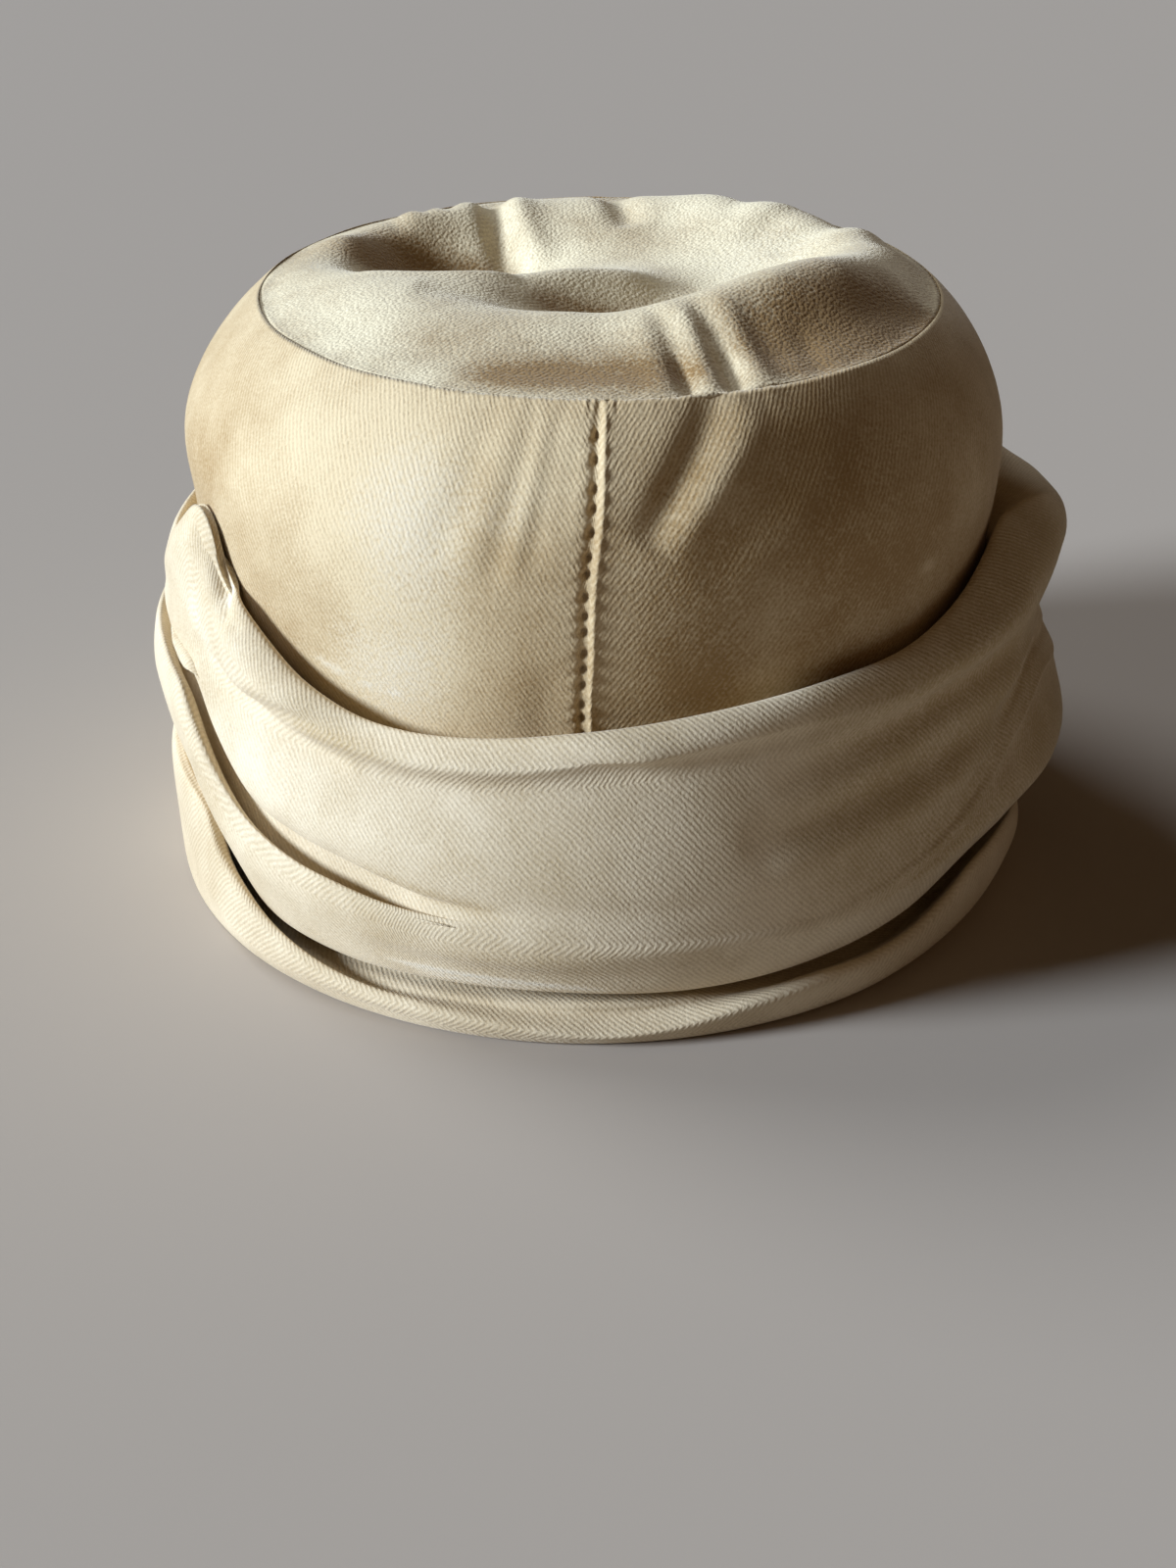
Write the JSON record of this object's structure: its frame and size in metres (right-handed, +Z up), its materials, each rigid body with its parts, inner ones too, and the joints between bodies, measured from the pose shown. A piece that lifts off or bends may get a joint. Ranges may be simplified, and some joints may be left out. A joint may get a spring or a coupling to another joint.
{
  "type": "draped turban hat",
  "caption": "Soft velvet turban hat: a puffed crown with a dented top, wrapped in swathed, pleated folds over a turned-up rim cuff.",
  "frame": {"origin": "under the middle of the hat's bounding box, at the height of the surface it stands on", "axes": "+Z up, +Y the way the wearer faces, +X to the wearer's right; the back seam and the picture's viewpoint are on the -Y side"},
  "size_m": [0.2534, 0.2514, 0.1715],
  "materials": {
    "tip_velvet": "short napped velvet, pale champagne",
    "side_velvet": "short napped velvet, pale champagne",
    "band_velvet": "bias-cut napped velvet, champagne",
    "cuff_velvet": "bias-cut napped velvet, champagne in shade"
  },
  "bodies": {
    "root": {"crown_tip": "tip_velvet", "crown_side": "side_velvet", "swathed_band": "band_velvet", "rim_cuff": "cuff_velvet"}
  },
  "joints": []
}
